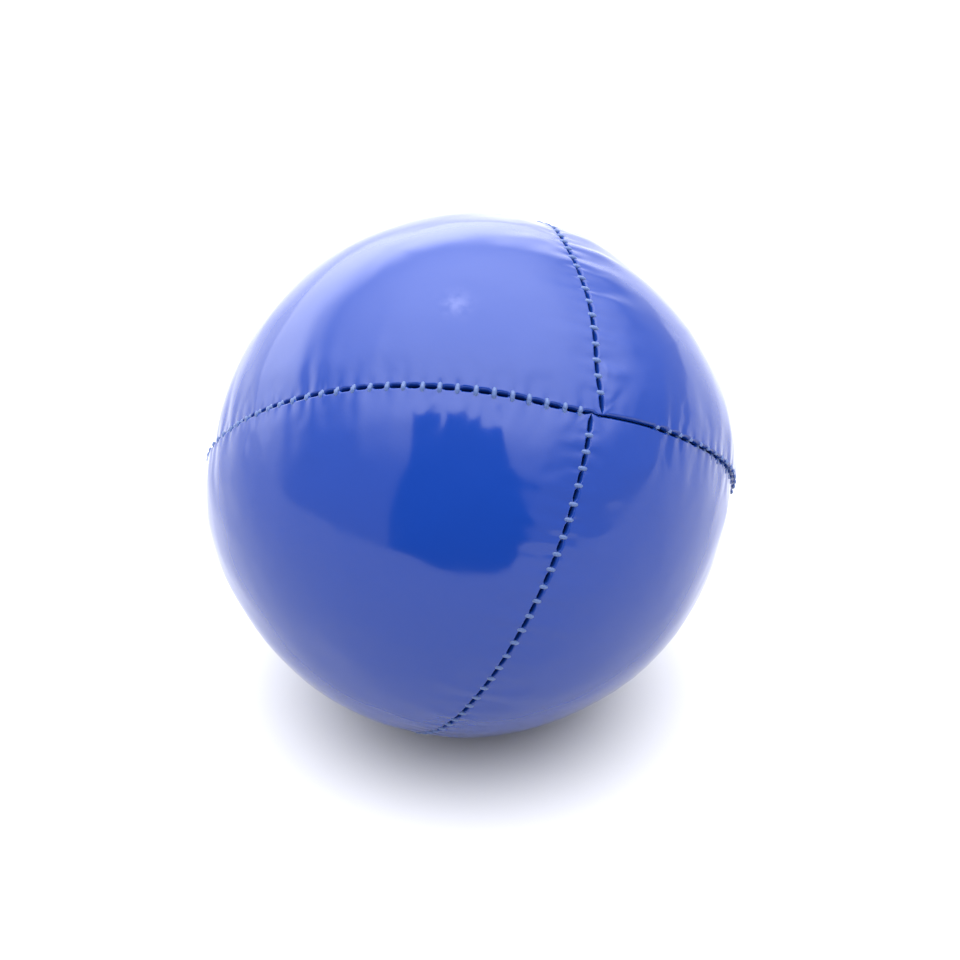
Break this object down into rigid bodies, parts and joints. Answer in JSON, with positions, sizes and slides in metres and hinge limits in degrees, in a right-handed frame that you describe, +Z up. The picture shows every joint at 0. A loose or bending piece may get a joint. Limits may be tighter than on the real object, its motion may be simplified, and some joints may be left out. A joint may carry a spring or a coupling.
{
  "type": "juggling ball",
  "caption": "Soft round juggling ball of glossy quarter-sphere panels sewn together around a seed filling, resting on a small flat.",
  "frame": {"origin": "middle of the small flat that the ball rests on, on the resting surface", "axes": "+Z up out of the resting surface through the ball's centre; -Y faces the side from which all panels show, with +X to its right"},
  "size_m": [0.065, 0.065, 0.064],
  "materials": {
    "panel_vinyl": "glossy coated leathercloth with a faint grain",
    "seam_thread": "twisted polyester sewing thread",
    "closing_thread": "waxed hand-sewing thread",
    "seed": "smooth hulled seed"
  },
  "bodies": {
    "root": {"upper_left_panel": "panel_vinyl", "upper_right_panel": "panel_vinyl", "lower_left_panel": "panel_vinyl", "lower_right_panel": "panel_vinyl", "main_seam_needle_thread": "seam_thread", "main_seam_bobbin_thread": "seam_thread", "upper_cross_needle_thread": "seam_thread", "upper_cross_bobbin_thread": "seam_thread", "lower_cross_needle_thread": "seam_thread", "lower_cross_bobbin_thread": "seam_thread", "closing_thread": "closing_thread", "seed_fill": "seed"}
  },
  "joints": []
}
